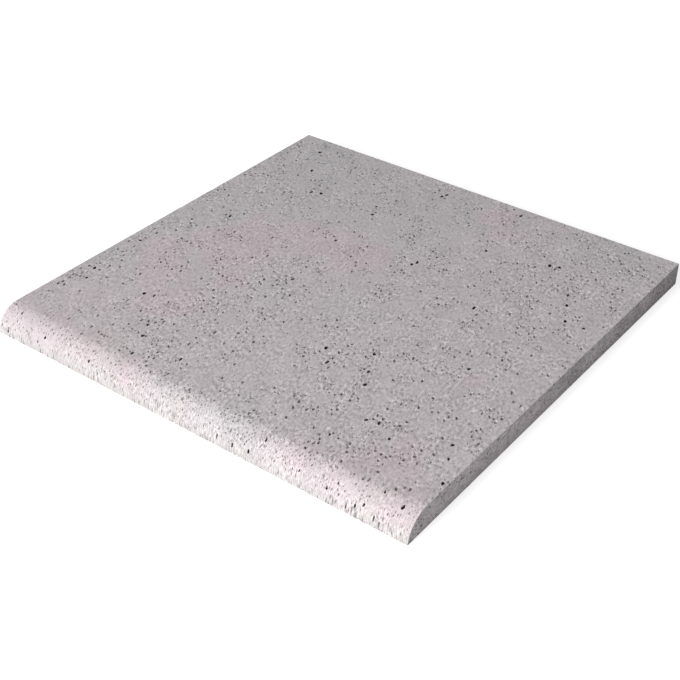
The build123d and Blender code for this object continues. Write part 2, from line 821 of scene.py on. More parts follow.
def arris_nicks(maker, along, count, stretch=1.0, widest=WIDEST_NICK, darkness=NICK_DARKNESS):
    """Small nicks along an arris that runs the length of the tile."""
    chance = maker.chance
    wanted = len(maker.pits) + count
    for _ in range(TRIES_A_NICK * count):
        if len(maker.pits) == wanted:
            break
        across = chance.uniform(LOW.x + NICK_ROOM, HIGH.x - NICK_ROOM)
        width = chance.uniform(NARROWEST_NICK, widest)
        off = chance.normal(0, NICK_STRAY) * MM
        maker.add(across, along + off, width, (stretch, pi / 2), darkness=chance.uniform(*darkness),
                  depth=chance.uniform(*NICK_DEPTH) * MM)


# Chips out of the nose's foot: how far they keep from its ends, how far they are
# drawn out up the nose, how dark their painted shade is, and their width, their place
# over the foot and their depth, in millimetres

CHIP_ROOM = 6 * MM
CHIP_STRETCH = 1.3
CHIP_DARKNESS = (0.0, 0.15)
CHIP_WIDTH = (2.2, 5.0)
CHIP_HEIGHT = (-0.5, 1.0)
CHIP_DEPTH = (0.8, 1.8)


def foot_chips(maker, section, count):
    """Chips out of the foot of the nose, which leave it ragged."""
    chance = maker.chance
    wanted = len(maker.pits) + count
    while len(maker.pits) < wanted:
        across = chance.uniform(LOW.x + CHIP_ROOM, HIGH.x - CHIP_ROOM)
        width = chance.uniform(*CHIP_WIDTH) * MM
        along = section.foot + chance.uniform(*CHIP_HEIGHT) * MM
        maker.add(across, along, width, (CHIP_STRETCH, pi / 2), darkness=chance.uniform(*CHIP_DARKNESS),
                  depth=chance.uniform(*CHIP_DEPTH) * MM)


# The sawn faces' pits: the widest, how dark their painted shade is and how far they keep from an arris

WIDEST_SAWN = 2.4 * MM
SAWN_DARKNESS = (0.35, 1.0)
SAWN_ROOM = 2 * MM


def sawn_pits(maker, low, high):
    """A few small pits by chance in a sawn face between two corners."""
    chance = maker.chance
    low, high = np.array(low), np.array(high)
    wanted = len(maker.pits) + maker.settings.sawn_pits
    while len(maker.pits) < wanted:
        width = min(maker.chance_width(), WIDEST_SAWN)
        across, along = chance.uniform(low + width, high - width)
        maker.add(across, along, width, darkness=chance.uniform(*SAWN_DARKNESS))


def round_pits(maker, section, edges):
    """Every pit, nick and chip of the surface that goes round the section."""
    widest_face_pits(maker, section)
    face_pits(maker, section)
    widest_nose_pits(maker, section)
    nose_pits(maker, section)
    foot_chips(maker, section, edges.foot_chips)
    arris_nicks(maker, section.foot + FOOT_NICK_HEIGHT, edges.foot_nicks, FOOT_NICK_STRETCH,
                WIDEST_FOOT_NICK, FOOT_NICK_DARKNESS)
    arris_nicks(maker, section.back_top, edges.upper_back_nicks)
    arris_nicks(maker, section.back_foot, edges.lower_back_nicks)
    sawn_pits(maker, (LOW.x, section.back_top + SAWN_ROOM), (HIGH.x, section.back_foot - SAWN_ROOM))


def end_pits(maker, section, side):
    """The pits of one sawn end. Its places across are Y, turned round on the left end."""
    low, high = sorted((side * section.at(section.nose_top)[0], side * HIGH.y))
    sawn_pits(maker, (low, LOW.z + SAWN_ROOM), (high - SAWN_ROOM, HIGH.z - SAWN_ROOM))


def tree_of(points):
    """A tree that finds flat points by their places."""
    tree = KDTree(len(points))
    for index, (across, along) in enumerate(points):
        tree.insert((across, along, 0), index)
    tree.balance()
    return tree


# A pit's walls go down steeply from its rim to a flat floor, and the painted shade
# inside it begins just past the rim

WALL_POWER = 4
ON_THE_RIM = 0.999
SHADE_EDGE = 0.12


def height_and_shade(points, pits):
    """How far each point sinks into the pits, how dark its painted shade is there and whether it is inside
    one.
    """
    sunk = np.zeros(len(points))
    shade = np.zeros(len(points))
    inside = np.zeros(len(points), bool)
    tree = tree_of(points)
    for pit in pits:
        near = [index for _, index, _ in tree.find_range((pit.across, pit.along, 0), pit.reach())]
        if not near:
            continue
        near = np.array(near)
        share = np.minimum(pit.share_at(points[near]), 1.0)
        share[share > ON_THE_RIM] = 1.0
        sunk[near] = np.maximum(sunk[near], pit.depth * (1 - share**WALL_POWER))
        dark = np.clip((1 - share) / SHADE_EDGE, 0, 1) * pit.darkness
        shade[near] = np.maximum(shade[near], dark)
        inside[near] |= share < 1
    return sunk, shade, inside


# Flat patterns, cut into triangles

INSIDE_LINES = 1
TOLERANCE = 1e-7

# How far a loose point may stray in its cell of the grid, and how clear it keeps of
# the points that are already there, as shares of the grid's spacing

STRAY = 0.28
CLEARANCE = 0.42


class Pattern:
    """A flat pattern of the stone's surface: its points and the lines that edges must follow."""

    def __init__(self):
        self.points = []
        self.lines = []

    def add_points(self, points):
        """Add loose points and return their numbers."""
        first = len(self.points)
        self.points += [tuple(map(float, point)) for point in points]
        return list(range(first, len(self.points)))

    def add_line(self, numbers, closed=False):
        """Keep a line through points that are already in the pattern."""
        self.lines += list(zip(numbers, numbers[1:]))
        if closed:
            self.lines.append((numbers[-1], numbers[0]))

    def add_pits(self, pits, chance):
        """Add each pit's rings, and its middle."""
        for pit in pits:
            for share, count in pit_rings(pit):
                ring = self.add_points(pit.ring(share, count, chance.random()))
                if share == 1:
                    self.add_line(ring, closed=True)

    def fill(self, low, high, spacing, chance, clearance=CLEARANCE, border=None):
        """Fill a rectangle, or a border inside it, with loose points clear of those already there."""
        low, high = np.array(low), np.array(high)
        spacing = np.broadcast_to(spacing, 2)
        counts = np.maximum(((high - low) / spacing).astype(int), 1)
        steps = (high - low) / counts
        column, row = np.meshgrid(np.arange(counts[0]), np.arange(counts[1]))
        grid = np.stack([column.ravel(), row.ravel()], axis=1) + 0.5
        grid = low + (grid + chance.uniform(-STRAY, STRAY, grid.shape)) * steps
        if border is not None:
            grid = grid[inside_outline(grid, border)]
        tree = tree_of(self.points)
        clear = clearance * spacing.min()
        self.add_points([p for p in grid if tree.find((p[0], p[1], 0))[2] > clear])

    def triangles(self, kept):
        """Cut the pattern. Returns its points, its triangles and where each kept point went."""
        found = delaunay_2d_cdt([Vector(p) for p in self.points], self.lines, [], INSIDE_LINES, TOLERANCE)
        points = np.array([tuple(p) for p in found[0]])
        place = {source: index for index, sources in enumerate(found[3]) for source in sources}
        if len({place[number] for number in kept}) != len(kept):
            raise RuntimeError("two points of a border ran together")
        return points, np.array(found[2]), place


def inside_outline(points, outline):
    """Which points lie inside a closed outline."""
    inside = np.zeros(len(points), bool)
    for a, b in zip(outline, np.roll(outline, -1, axis=0)):
        crosses = (a[1] > points[:, 1]) != (b[1] > points[:, 1])
        rise = np.where(crosses, b[1] - a[1], 1.0)
        meets = a[0] + (points[:, 1] - a[1]) * (b[0] - a[0]) / rise
        inside ^= crosses & (points[:, 0] < meets)
    return inside


# The tile's mesh

LEFT, RIGHT = -1, 1


class TileMesh:
    """Gathers the tile's corners, triangles and the values that its materials read."""

    def __init__(self):
        self.corners = []
        self.shade = []
        self.inside = []
        self.arris = []
        self.grain = []
        self.triangles = []
        self.chart = []
        self.flats = []

    def add_corners(self, corners, shade, inside, arris, grain):
        """Add corners with what their materials read, and return their numbers."""
        first = len(self.corners)
        self.corners += [tuple(corner) for corner in corners]
        self.shade += list(shade)
        self.inside += list(inside)
        self.arris += list(arris)
        self.grain += [tuple(place) for place in grain]
        return np.arange(first, len(self.corners))

    def add_triangles(self, triangles, chart, flats):
        """Add triangles with the chart each lies on and its three places on that chart."""
        self.triangles += [tuple(map(int, triangle)) for triangle in triangles]
        self.chart += list(chart)
        self.flats += [tuple(map(tuple, flat)) for flat in flats]


FACE_CHART, BACK_CHART, UNDER_CHART, RIGHT_CHART, LEFT_CHART = range(5)


def chart_of(along, section):
    """The chart that a place round the section lies on."""
    on_face = (along > section.foot) & (along < section.back_top)
    on_back = (along > section.back_top) & (along < section.back_foot)
    return np.where(on_face, FACE_CHART, np.where(on_back, BACK_CHART, UNDER_CHART))


# The arrises of the two ends. Each is a strip between a border on the surface that
# goes round the section and one on the sawn end.

BORDER_STEP = 2.2 * MM
CORNER_ROWS = (-1.2, -0.4, 0.4, 1.2)

# How far an arris's width swings along it, how many swings there are to a metre,
# which part of the noise they are read from and how far apart the two ends' parts
# are, and how much of its width the underside's arris has

WEAR_SWING = 0.35
WEAR_WAVES = 60
WEAR_PART = 1.3
SIDE_SHIFT = 5.0
UNDER_WEAR = 0.6

# The chips of an arris: half their length in millimetres, how their bites fall, and
# how much is left of a bite near a corner or under the tile

CHIP_HALF = (0.8, 2.6)
BITE_CHANCE = (1.5, 3.5)
NEAR_CORNER = 3 * MM
CORNER_BITE = 0.3

# How far an arris keeps from a pit: how near it looks, the pit's half width with its
# uneven rim, the stone that is left between, and the least width

PIT_WATCH = 4 * MM
PIT_HALF = 0.62
PIT_WALL = 0.1 * MM
LEAST_ARRIS = 0.15 * MM


def border_places(section, rounding):
    """Places round the section for the ends' arrises, and the rows beside its corners."""
    marks = [0.0]
    for corner in section.corners:
        marks += [corner + share * rounding for share in CORNER_ROWS]
    marks.append(section.length)
    places = [0.0]
    for low, high in zip(marks, marks[1:]):
        count = max(int(np.ceil((high - low) / BORDER_STEP)), 1)
        places += list(np.linspace(low, high, count + 1)[1:])
    return np.array(places), marks[1:-1]


def worn_width(places, section, rounding, side):
    """How far in from an end its arris is worn at each place, before it is chipped."""
    waves = [noise.noise(Vector((place * WEAR_WAVES, side * SIDE_SHIFT, WEAR_PART))) for place in places]
    width = rounding * (1 + WEAR_SWING * np.array(waves))
    under = (places < section.foot) | (places > section.back_foot)
    width[under] *= UNDER_WEAR
    return width


def chip_arris(width, places, section, edges, chance):
    """Chip a worn arris. Returns its new width, and how hollow it is at each place."""
    hollow = np.zeros(len(places))
    for _ in range(edges.chips):
        middle = chance.uniform(0, section.length)
        half = chance.uniform(*CHIP_HALF) * MM
        bite = edges.widest_chip * chance.beta(*BITE_CHANCE)
        below = middle < section.foot or middle > section.back_foot
        if below or np.abs(section.corners - middle).min() < NEAR_CORNER:
            bite *= CORNER_BITE
        share = np.clip(1 - ((places - middle) / (half + bite)) ** 2, 0, 1)
        hollow = np.where(share * bite > width, share, hollow)
        width = np.maximum(width, share * bite)
    return width, hollow


def clear_of_pits(width, places, pits, side):
    """An arris's width, made narrower where a pit is near."""
    width = width.copy()
    edge = HIGH.x if side == RIGHT else -LOW.x
    for pit in pits:
        room = edge - side * pit.across - PIT_HALF * pit.width - PIT_WALL
        if room < PIT_WATCH:
            beside = np.abs(places - pit.along) < RIM_REACH * pit.width * pit.stretch + BORDER_STEP
            width[beside] = np.minimum(width[beside], max(room, LEAST_ARRIS))
    return width


class Arris:
    """The arris of one end: its border, and its width and hollows round the section.

    The border's last point lies where its first one does, once round the section.
    """

    def __init__(self, places, section, pits, edges, chance, side):
        width = worn_width(places, section, edges.rounding, side)
        width, hollow = chip_arris(width, places, section, edges, chance)
        width = clear_of_pits(width, places, pits, side)
        width[-1] = width[0]
        hollow[-1] = hollow[0]
        self.side = side
        self.end_x = HIGH.x if side == RIGHT else LOW.x
        self.border = list(zip(self.end_x - side * width, places))
        self.place = places[:-1]
        self.width = width[:-1]
        self.hollow = hollow[:-1]


# The spacing of the loose points of each face, and of those along the rows beside
# the corners, and how far the loose points keep from the ends

FACE_SPACING = 5 * MM
NOSE_SPACING = (3.6 * MM, 2.0 * MM)
SAWN_SPACING = 7 * MM
UNDER_SPACING = 14 * MM
ROW_STEP = 3.6 * MM
ROW_INSET = 1.5 * MM

# The walking face's gentle unevenness: how far it sinks, how many waves there are to
# a metre and which part of the noise they are read from

UNEVEN_DEPTH = 0.09 * MM
UNEVEN_WAVES = 22
UNEVEN_PART = 0.4


def unevenness(points):
    """How far the stone's gentle unevenness sinks at each point."""
    scale, part = UNEVEN_WAVES, UNEVEN_PART
    values = [noise.noise(Vector((across * scale, along * scale, part))) for across, along in points]
    return UNEVEN_DEPTH * (0.5 + 0.5 * np.clip(values, -1, 1))


def add_row(pattern, left, right, step):
    """Keep a straight row of points from one point of the left border to one of the right."""
    along = pattern.points[left][1]
    inner = np.linspace(LOW.x, HIGH.x, int(LENGTH / step))[1:-1]
    row = [left, *pattern.add_points((across, along) for across in inner), right]
    pattern.add_line(row)
    return row


def fill_faces(pattern, section, chance):
    """Fill each face round the section with loose points, as close as it needs them."""
    low_x, high_x = LOW.x + ROW_INSET, HIGH.x - ROW_INSET
    for low, high, spacing in (
        (0, section.foot, UNDER_SPACING),
        (section.foot, section.nose_top, NOSE_SPACING),
        (section.nose_top, section.back_top, FACE_SPACING),
        (section.back_top, section.back_foot, SAWN_SPACING),
        (section.back_foot, section.length, UNDER_SPACING),
    ):
        pattern.fill((low_x, low), (high_x, high), spacing, chance)


def add_round_corners(mesh, section, points, pits, rounding):
    """Add the corners of the surface round the section, sunk into its pits."""
    along = points[:, 1]
    sunk, shade, inside = height_and_shade(points, pits)
    sunk += unevenness(points) * (chart_of(along, section) == FACE_CHART)
    outline = section.at(along) - sunk[:, None] * section.outward(along)
    near = np.min([np.abs(along - corner) for corner in section.corners], axis=0)
    arris = np.clip(1 - near / (2 * rounding), 0, 1)
    grain_y = section.read(section.grain_y, along)
    grain_z = section.read(section.grain_z, along) - sunk
    grain = np.column_stack([points[:, 0], grain_y, grain_z])
    return mesh.add_corners(np.column_stack([points[:, 0], outline]), shade, inside, arris, grain)


def around_mesh(mesh, section, pits, arrises, rows, rounding, chance):
    """The surface that goes round the section, without the two ends. Returns its borders."""
    pattern = Pattern()
    left = pattern.add_points(arrises[LEFT].border)
    right = pattern.add_points(arrises[RIGHT].border)
    pattern.add_line(left)
    pattern.add_line(right)
    seams = [add_row(pattern, left[k], right[k], UNDER_SPACING) for k in (0, -1)]
    for along in rows:
        k = int(np.argmin(np.abs(arrises[LEFT].place - along)))
        add_row(pattern, left[k], right[k], ROW_STEP)
    pattern.add_pits(pits, chance)
    fill_faces(pattern, section, chance)

    points, triangles, went = pattern.triangles(left + right)
    numbers = add_round_corners(mesh, section, points, pits, rounding)
    for start, end in zip(*seams):
        numbers[went[end]] = numbers[went[start]]
    flat = points[triangles]
    mesh.add_triangles(numbers[triangles], chart_of(flat[:, :, 1].mean(axis=1), section), flat)
    return {side: numbers[[went[n] for n in border]] for side, border in ((LEFT, left), (RIGHT, right))}


# The loose points of a sawn end, and the columns of a rounded arris between its two
# borders, with how much a chip hollows it and how dark the painted shade in its middle is

END_SPACING = 4.9 * MM
END_CLEARANCE = 0.5
ROUND_COLUMNS = 2
CHIP_SCOOP = 0.55
CHIP_PAINTED_SHADE = 0.5


def sawn_end(mesh, section, arris, pits, chance):
    """One sawn end inside its arris. Returns the numbers of its border."""
    mirror = np.array((arris.side, 1))
    border = section.at(arris.place) - arris.width[:, None] * section.outward(arris.place)
    border = border * mirror
    pattern = Pattern()
    outline = pattern.add_points(border)
    pattern.add_line(outline, closed=True)
    pattern.add_pits(pits, chance)
    pattern.fill(border.min(axis=0), border.max(axis=0), END_SPACING, chance, END_CLEARANCE, border)

    points, triangles, went = pattern.triangles(outline)
    sunk, shade, inside = height_and_shade(points, pits)
    x = arris.end_x - arris.side * sunk
    yz = points * mirror
    grain = np.column_stack([x, yz[:, 0], yz[:, 1] - HIGH.z])
    numbers = mesh.add_corners(np.column_stack([x, yz]), shade, inside, np.zeros(len(points)), grain)
    chart = RIGHT_CHART if arris.side == RIGHT else LEFT_CHART
    mesh.add_triangles(numbers[triangles], np.full(len(triangles), chart), points[triangles])
    return numbers[[went[n] for n in outline]]


def rounded_arris(mesh, section, arris, outer, inner):
    """The arris between the border round the section and the one of the sawn end."""
    place, width, hollow = arris.place, arris.width, arris.hollow
    grain_y = section.read(section.grain_y, place)
    grain_z = section.read(section.grain_z, place)
    outside, worn = np.zeros(len(place), bool), np.ones(len(place))
    columns = [outer]
    for column in range(1, ROUND_COLUMNS + 1):
        turn = pi / 2 * column / (ROUND_COLUMNS + 1)
        out = np.where(hollow > 0, 1 - CHIP_SCOOP * hollow * sin(2 * turn), 1)
        x = arris.end_x - arris.side * width * (1 - sin(turn) * out)
        inward = width * (1 - cos(turn) * out)
        corners = np.column_stack([x, section.at(place) - inward[:, None] * section.outward(place)])
        grain = np.column_stack([x, grain_y, grain_z])
        columns.append(mesh.add_corners(corners, CHIP_PAINTED_SHADE * hollow, outside, worn, grain))
    columns.append(inner)
    add_strip(mesh, section, arris, columns)


def add_strip(mesh, section, arris, columns):
    """The triangles of a rounded arris, column by column round the section."""
    count = len(arris.place)
    for column, (near, far) in enumerate(zip(columns, columns[1:])):
        shares = column / (len(columns) - 1), (column + 1) / (len(columns) - 1)
        for start in range(count):
            end = (start + 1) % count
            low, high = arris.place[start], arris.place[end] if end else section.length
            first, second = (
                [arris.end_x - arris.side * arris.width[k] * (1 - share) for share in shares]
                for k in (start, end)
            )
            quad = [near[start], far[start], far[end], near[end]]
            flat = [(first[0], low), (first[1], low), (second[1], high), (second[0], high)]
            if arris.side == LEFT:
                quad.reverse()
                flat.reverse()
            chart = int(chart_of((low + high) / 2, section))
            halves = ((0, 1, 2), (0, 2, 3))
            mesh.add_triangles([[quad[k] for k in half] for half in halves], [chart, chart],
                               [[flat[k] for k in half] for half in halves])


# The height under which the mauve fades out, towards the nose's foot, how much of it
# fades, and how cream the foot is. Then how fast a patch fades from its middle.

FOOT_BAND = 20 * MM
MAUVE_FADE = 0.85
FOOT_CREAM = 0.75
PATCH_FADE = 0.8


def patch_share(corners, patches):
    """How strongly each corner lies in one of some patches, from 0 to 1."""
    share = np.zeros(len(corners))
    for x, y, radius, strength in patches:
        away = np.hypot(corners[:, 0] - x * MM, corners[:, 1] - y * MM) / (radius * MM)
        share = np.maximum(share, strength * np.exp(-(away**2) * PATCH_FADE))
    return share


def low_down(corners):
    """How near each corner is to the nose's foot, from 0 above the foot's band to 1 at the foot."""
    return np.clip((FOOT_BAND - corners[:, 2]) / FOOT_BAND, 0, 1)


def mauve_share(corners):
    """How mauve each corner is. The mauve fades towards the nose's foot."""
    return patch_share(corners, MAUVE_PATCHES) * (1 - MAUVE_FADE * low_down(corners))


def cream_share(corners):
    """How cream each corner is. The cream shows most along the nose's foot."""
    return np.maximum(patch_share(corners, CREAM_PATCHES), FOOT_CREAM * low_down(corners))


def nose_slope(corners):
    """How steep the nose is at each corner, from 0 on the walking face to 1 at its foot."""
    down = np.clip((HIGH.z - corners[:, 2]) / THICKNESS, 0, 1)
    on_nose = corners[:, 1] < LOW.y + NOSE_RADIUS
    return np.sqrt(down) * on_nose


# Where each chart lies on the unit square that the finish may be drawn on. The
# walking face takes most of it, because it is what shows.

CHART_GAP = 0.004
FACE_SHARE = 0.84
STRIP_ROOM = 2 * MM


def chart_layout(section):
    """Each chart's lowest place, its two scales and its corner on the unit square."""
    scale = FACE_SHARE / (section.back_top - section.foot)
    strip = (THICKNESS + STRIP_ROOM) * scale + CHART_GAP
    under = 1 - (LENGTH * scale + 3 * CHART_GAP)
    under_scale = (under / LENGTH, (1 - 2 * CHART_GAP) / DEPTH)
    start = CHART_GAP
    return {
        FACE_CHART: ((LOW.x, section.foot), (scale, scale), (start, 3 * strip + CHART_GAP)),
        BACK_CHART: ((LOW.x, section.back_top), (scale, scale), (start, start)),
        RIGHT_CHART: ((LOW.y, LOW.z), (scale, scale), (start, start + strip)),
        LEFT_CHART: ((-HIGH.y, LOW.z), (scale, scale), (start, start + 2 * strip)),
        UNDER_CHART: ((LOW.x, -HIGH.y), under_scale, (1 - under, start)),
    }


def finish_map(mesh, section, tile):
    """Lay the charts out on the tile's own map, for drawing its finish."""
    flats = np.array(mesh.flats)
    charts = np.array(mesh.chart)
    on_far_side = (charts == UNDER_CHART) & (flats[:, :, 1].mean(axis=1) > section.back_top)
    flats[on_far_side, :, 1] -= section.length
    placed = np.zeros_like(flats)
    for chart, (lowest, scale, corner) in chart_layout(section).items():
        here = charts == chart
        placed[here] = (flats[here] - lowest) * scale + corner
    layer = tile.uv_layers.new(name="OFBake")
    layer.data.foreach_set("uv", np.clip(placed, 0, 1).ravel())


def grain_along_flow(places):
    """The grain's places, closed up along the stone's flow so that the grain is drawn out along it."""
    closed_up = places.copy()
    closed_up[:, :2] = places[:, :2] @ np.linalg.inv(drawn_out(GRAIN_FLOW, GRAIN_HEADING))
    return closed_up


def add_attribute(tile, name, kind, values):
    """Store one value for each corner, for the materials to read."""
    attribute = tile.attributes.new(name, kind, "POINT")
    key = "vector" if kind == "FLOAT_VECTOR" else "value"
    attribute.data.foreach_set(key, np.asarray(values, float).ravel())


def add_attributes(tile, mesh, used, corners):
    """Store everything that the materials read."""
    add_attribute(tile, "pit_shade", "FLOAT", np.array(mesh.shade)[used])
    add_attribute(tile, "arris_wear", "FLOAT", np.array(mesh.arris)[used])
    add_attribute(tile, "mauve_patch", "FLOAT", mauve_share(corners))
    add_attribute(tile, "cool_patch", "FLOAT", patch_share(corners, COOL_PATCHES))
    add_attribute(tile, "cream_patch", "FLOAT", cream_share(corners))
    add_attribute(tile, "grain_place", "FLOAT_VECTOR", grain_along_flow(np.array(mesh.grain)[used]))
    add_attribute(tile, "liveliness", "FLOAT", liveliness(corners[:, 0], corners[:, 1]))
    add_attribute(tile, "crowding", "FLOAT", [crowding(x, y) for x, y, _ in corners.tolist()])
    add_attribute(tile, "nose_slope", "FLOAT", nose_slope(corners))


SHARP_EDGE = radians(38)


def shade_smooth(tile, inside):
    """Smooth the tile but for its sharp edges. A pit's rim stays sharp, and its walls don't."""
    tile.polygons.foreach_set("use_smooth", np.ones(len(tile.polygons), bool))
    tile.set_sharp_from_angle(angle=SHARP_EDGE)
    ends = np.zeros(2 * len(tile.edges), np.int32)
    tile.edges.foreach_get("vertices", ends)
    sharp = np.zeros(len(tile.edges), bool)
    layer = tile.attributes["sharp_edge"].data
    layer.foreach_get("value", sharp)
    layer.foreach_set("value", sharp & ~inside[ends.reshape(-1, 2)].any(axis=1))


def tile_object(mesh, section):
    """The finished Blender object from the gathered corners and triangles."""
    used, triangles = np.unique(np.array(mesh.triangles), return_inverse=True)
    triangles = triangles.reshape(-1, 3)
    corners = np.array(mesh.corners)[used]
    tile = bpy.data.meshes.new(PIECE)
    tile.from_pydata(corners.tolist(), [], triangles.tolist())
    add_attributes(tile, mesh, used, corners)
    finish_map(mesh, section, tile)
    sawn = np.array(mesh.chart) != FACE_CHART
    tile.polygons.foreach_set("material_index", sawn.astype(np.int32))
    shade_smooth(tile, np.array(mesh.inside)[used])
    if tile.validate(verbose=True):
        raise RuntimeError("the tile's mesh had faults")
    piece = bpy.data.objects.new(PIECE, tile)
    bpy.context.scene.collection.objects.link(piece)
    return piece


def pitted_tile(pit_settings, edges):
    """The whole tile's mesh as an object, without its materials."""
    chance = np.random.default_rng(pit_settings.seed)
    section = Section(NOSE_RADIUS, CORNER_BLEND)
    maker = PitMaker(pit_settings, chance)
    round_pits(maker, section, edges)
    places, rows = border_places(section, edges.rounding)
    arrises = {side: Arris(places, section, maker.pits, edges, chance, side) for side in (LEFT, RIGHT)}
    mesh = TileMesh()
    borders = around_mesh(mesh, section, maker.pits, arrises, rows, edges.rounding, chance)
    for side, arris in arrises.items():
        end = PitMaker(pit_settings, chance)
        end_pits(end, section, side)
        inner = sawn_end(mesh, section, arris, end.pits, chance)
        rounded_arris(mesh, section, arris, borders[side][:-1], inner)
    return tile_object(mesh, section)


# Shader nodes

COLOUR, NUMBER, PLACE = "NodeSocketColor", "NodeSocketFloat", "NodeSocketVector"
WHITE = (1, 1, 1, 1)


def link_or_fill(tree, value, socket):
    """Link an input to another node's output, or give it a plain value."""
    if isinstance(value, bpy.types.NodeSocket):
        tree.links.new(value, socket)
    else:
        socket.default_value = value


def add_node(tree, kind, inputs=None, **settings):
    """Add a node, change its settings, and link or fill its inputs by name or number."""
    made = tree.nodes.new(kind)
    for name, value in settings.items():
        setattr(made, name, value)
    for key, value in (inputs or {}).items():
        link_or_fill(tree, value, made.inputs[key])
    return made


def math_node(tree, operation, first, second=0.5, clamp=False):
    """The result of one sum on two numbers."""
    return add_node(tree, "ShaderNodeMath", {0: first, 1: second}, operation=operation,
                    use_clamp=clamp).outputs[0]


def product(tree, *factors):
    """The product of some numbers."""
    result = factors[0]
    for factor in factors[1:]:
        result = math_node(tree, "MULTIPLY", result, factor)
    return result


def centred(tree, value):
    """A value between 0 and 1, moved to lie round 0."""
    return math_node(tree, "SUBTRACT", value, 0.5)


def ranged(tree, value, low, high, to_low=0.0, to_high=1.0, smooth=True):
    """A value moved from one range to another and held inside it."""
    inputs = {"Value": value, "From Min": low, "From Max": high, "To Min": to_low, "To Max": to_high}
    kind = "SMOOTHSTEP" if smooth else "LINEAR"
    return add_node(tree, "ShaderNodeMapRange", inputs, interpolation_type=kind).outputs["Result"]


def mixed(tree, share, first, second):
    """Two colours mixed by a share."""
    made = add_node(tree, "ShaderNodeMix", data_type="RGBA")
    for name, value in (("Factor_Float", share), ("A_Color", first), ("B_Color", second)):
        link_or_fill(tree, value, next(s for s in made.inputs if s.identifier == name))
    return next(s for s in made.outputs if s.identifier == "Result_Color")


def scaled_colour(tree, colour, tone):
    """A colour made lighter or darker by a tone near 1."""
    return add_node(tree, "ShaderNodeVectorMath", {0: colour, "Scale": tone}, operation="SCALE").outputs[0]


def noise_of(tree, place, scale, detail=2.0, roughness=0.5):
    """Smooth noise between 0 and 1."""
    inputs = {"Vector": place, "Scale": scale, "Detail": detail, "Roughness": roughness}
    return add_node(tree, "ShaderNodeTexNoise", inputs).outputs["Fac"]


def cells_of(tree, place, scale):
    """Cells by chance: how far each place is from its cell's middle, and the cell's own draws."""
    made = add_node(tree, "ShaderNodeTexVoronoi", {"Vector": place, "Scale": scale})
    own = add_node(tree, "ShaderNodeSeparateColor", {"Color": made.outputs["Color"]})
    return made.outputs["Distance"], own.outputs


def stored(tree, name, output="Fac"):
    """A value that the mesh stores."""
    made = add_node(tree, "ShaderNodeAttribute", attribute_name=name, attribute_type="GEOMETRY")
    return made.outputs[output]


def new_group(name, inputs, outputs):
    """An empty shader node group with its sockets, and its two end nodes."""
    group = bpy.data.node_groups.new(name, "ShaderNodeTree")
    for socket, kind, default in inputs:
        made = group.interface.new_socket(socket, in_out="INPUT", socket_type=kind)
        if default is not None:
            made.default_value = default
    for socket, kind in outputs:
        group.interface.new_socket(socket, in_out="OUTPUT", socket_type=kind)
    return group, group.nodes.new("NodeGroupInput").outputs, group.nodes.new("NodeGroupOutput").inputs


# The mineral grain: how much finer its second noise and its sand are, how far the
# noise swings, and the draws past which a cell is a light or a dark speck

FINE_GRAINS = 2.3
SAND_GRAINS = 6.0
GRAIN_GAIN = 1.7
GRAIN_SWING = 3.2
LIGHT_SPECK = (0.87, 0.96)
DARK_SPECK = (0.12, 0.03)


def uneven_grain(group, given):
    """The grain's two noises in one, round 0."""
    coarse = noise_of(group, given["Place"], given["Grains"], 1.0, 0.6)
    fine = noise_of(group, given["Place"], product(group, given["Grains"], FINE_GRAINS), 3.0, 0.6)
    finer = math_node(group, "SUBTRACT", fine, coarse)
    both = math_node(group, "ADD", coarse, product(group, finer, given["Fineness"]))
    return product(group, centred(group, both), GRAIN_GAIN)


def mineral_grain_group():
    """The stone's fine light and dark grains, as a tone near 1 and a height near 0."""
    group, given, result = new_group(
        "Mineral grain",
        [("Place", PLACE, None), ("Grains", NUMBER, 600.0), ("Contrast", NUMBER, 0.2),
         ("Fineness", NUMBER, 0.4), ("Specks", NUMBER, 0.5), ("Sand", NUMBER, 0.75)],
        [("Tone", NUMBER), ("Height", NUMBER)],
    )
    even = uneven_grain(group, given)
    _, own = cells_of(group, given["Place"], given["Grains"])
    light = ranged(group, own[0], *LIGHT_SPECK)
    dark = ranged(group, own[0], *DARK_SPECK)
    specks = product(group, math_node(group, "SUBTRACT", light, dark), given["Specks"])
    swing = math_node(group, "ADD", product(group, even, GRAIN_SWING), specks)
    change = product(group, swing, given["Contrast"])
    sand_noise = noise_of(group, given["Place"], product(group, given["Grains"], SAND_GRAINS), 2.0, 0.7)
    sand = product(group, centred(group, sand_noise), given["Sand"])
    sandy_change = math_node(group, "ADD", change, sand)
    group.links.new(math_node(group, "ADD", sandy_change, 1.0), result["Tone"])
    group.links.new(math_node(group, "ADD", even, sand), result["Height"])
    return group


# An open pore's soft rim, as shares of its size, and the least size

PORE_RIM = (1.2, 0.4)
LEAST_PORE = 0.01


def open_pores_group():
    """Pores too small to be modelled: a mask that is 1 inside a pore."""
    group, given, result = new_group(
        "Open pores",
        [("Place", PLACE, None), ("Pores", NUMBER, 260.0), ("Largest", NUMBER, 0.3),
         ("Rarity", NUMBER, 2.0)],
        [("Mask", NUMBER)],
    )
    distance, own = cells_of(group, given["Place"], given["Pores"])
    size = product(group, math_node(group, "POWER", own[1], given["Rarity"]), given["Largest"])
    share = math_node(group, "DIVIDE", distance, math_node(group, "MAXIMUM", size, LEAST_PORE))
    group.links.new(ranged(group, share, *PORE_RIM), result["Mask"])
    return group


# The clouds of colour: how many of the wide, the patchy and the light ones there are
# to a metre, how ragged each colour makes its patches, and how soft their edges are

WIDE_COLOURS = 12.0
PATCHY_COLOURS = 26.0
LIGHT_CLOUDS = 38.0
COOL_RAGGED = 1.3
CREAM_RAGGED = 0.9
MAUVE_RAGGED = 1.1
PATCH_EDGE = (0.2, 0.85)


